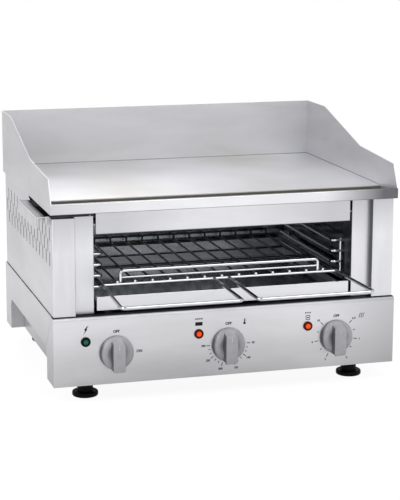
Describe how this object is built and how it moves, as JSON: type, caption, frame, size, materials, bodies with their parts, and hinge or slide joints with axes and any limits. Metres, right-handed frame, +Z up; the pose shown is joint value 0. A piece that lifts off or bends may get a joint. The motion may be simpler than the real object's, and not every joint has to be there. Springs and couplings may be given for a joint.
{
  "type": "griddle toaster",
  "caption": "Counter-top electric griddle with a splash guard and grease drawer over an open toasting cavity with a sliding wire rack, crumb tray, control panel and feet.",
  "frame": {"origin": "bottom centre of the whole bounding box, on the plane the feet stand on, midway between the drawer lip and the tray's right side and midway between the rack handles and the rear cable gland", "axes": "+X to the machine's right seen from the front, +Y from front to back, +Z up"},
  "size_m": [0.633, 0.601, 0.4427],
  "materials": {
    "stainless": "satin brushed stainless sheet",
    "plate_steel": "ground and polished thick plate",
    "cavity_steel": "bright mill sheet, plain",
    "chrome_wire": "bright plated wire",
    "zinc_steel": "zinc plated",
    "element_sheath": "dark heat-stained sheath",
    "ceramic_white": "unglazed",
    "fibre_blanket": "matt ceramic-fibre blanket",
    "copper": "bare drawn tube",
    "knob_grey": "fine textured moulding",
    "black_moulding": "satin black moulding",
    "lead_sleeve": "heat-resistant sleeving",
    "lens_green": "tinted transparent lens",
    "lens_amber": "tinted transparent lens"
  },
  "bodies": {
    "machine": {"splash_guard": "stainless", "front_gutter": "stainless", "hood_panel": "stainless", "pillar_left": "stainless", "pillar_right": "stainless", "side_panel_left": "stainless", "side_panel_right": "stainless", "rear_panel": "stainless", "base_front_panel": "stainless", "base_side_left": "stainless", "base_side_right": "stainless", "base_rear_panel": "stainless", "base_deck": "stainless", "drain_spout": "stainless", "foot_plates": "stainless", "griddle_plate": "plate_steel", "liner_left": "cavity_steel", "liner_right": "cavity_steel", "liner_back": "cavity_steel", "cavity_ceiling": "cavity_steel", "drawer_slides": "cavity_steel", "crumb_tray_slides": "cavity_steel", "element_hangers": "cavity_steel", "element_clamps": "cavity_steel", "clamp_posts": "cavity_steel", "control_housing": "cavity_steel", "rack_runner_left": "chrome_wire", "rack_runner_right": "chrome_wire", "hood_pins": "zinc_steel", "cover_screws": "zinc_steel", "foot_bolts": "zinc_steel", "griddle_elements": "element_sheath", "toasting_elements": "element_sheath", "element_terminals": "ceramic_white", "terminal_block": "ceramic_white", "insulation_blanket": "fibre_blanket", "thermostat_bulb": "copper", "foot_pads": "black_moulding", "cable_gland": "black_moulding", "gland_nut": "black_moulding", "lamp_bodies": "black_moulding", "power_switch": "black_moulding", "thermostat": "black_moulding", "energy_regulator": "black_moulding", "wiring_leads": "lead_sleeve", "power_lamp_lens": "lens_green", "griddle_lamp_lens": "lens_amber", "toaster_lamp_lens": "lens_amber"},
    "power_control": {"power_knob": "knob_grey", "power_spindle": "zinc_steel"},
    "griddle_control": {"griddle_knob": "knob_grey", "griddle_spindle": "zinc_steel"},
    "toaster_control": {"toaster_knob": "knob_grey", "toaster_spindle": "zinc_steel"},
    "toast_rack": {"rack_frame": "chrome_wire", "rack_slats": "chrome_wire", "rack_fence": "chrome_wire", "rack_rail": "chrome_wire"},
    "crumb_tray": {"crumb_tray": "stainless"},
    "grease_drawer": {"grease_drawer": "stainless"}
  },
  "joints": [
    {"name": "power_turn", "type": "hinge", "parent": "machine", "child": "power_control", "pos_m": [-0.189, -0.175, 0.0855], "axis": [0, 1, 0], "range_deg": [0, 90]},
    {"name": "griddle_turn", "type": "hinge", "parent": "machine", "child": "griddle_control", "pos_m": [0.009, -0.175, 0.0855], "axis": [0, 1, 0], "range_deg": [0, 270]},
    {"name": "toaster_turn", "type": "hinge", "parent": "machine", "child": "toaster_control", "pos_m": [0.207, -0.175, 0.0855], "axis": [0, 1, 0], "range_deg": [0, 313]},
    {"name": "rack_slide", "type": "slide", "parent": "machine", "child": "toast_rack", "axis": [0, -1, 0], "range_m": [0, 0.2]},
    {"name": "crumb_slide", "type": "slide", "parent": "machine", "child": "crumb_tray", "axis": [0, -1, 0], "range_m": [0, 0.3]},
    {"name": "grease_slide", "type": "slide", "parent": "machine", "child": "grease_drawer", "axis": [-1, 0, 0], "range_m": [0, 0.15]}
  ]
}
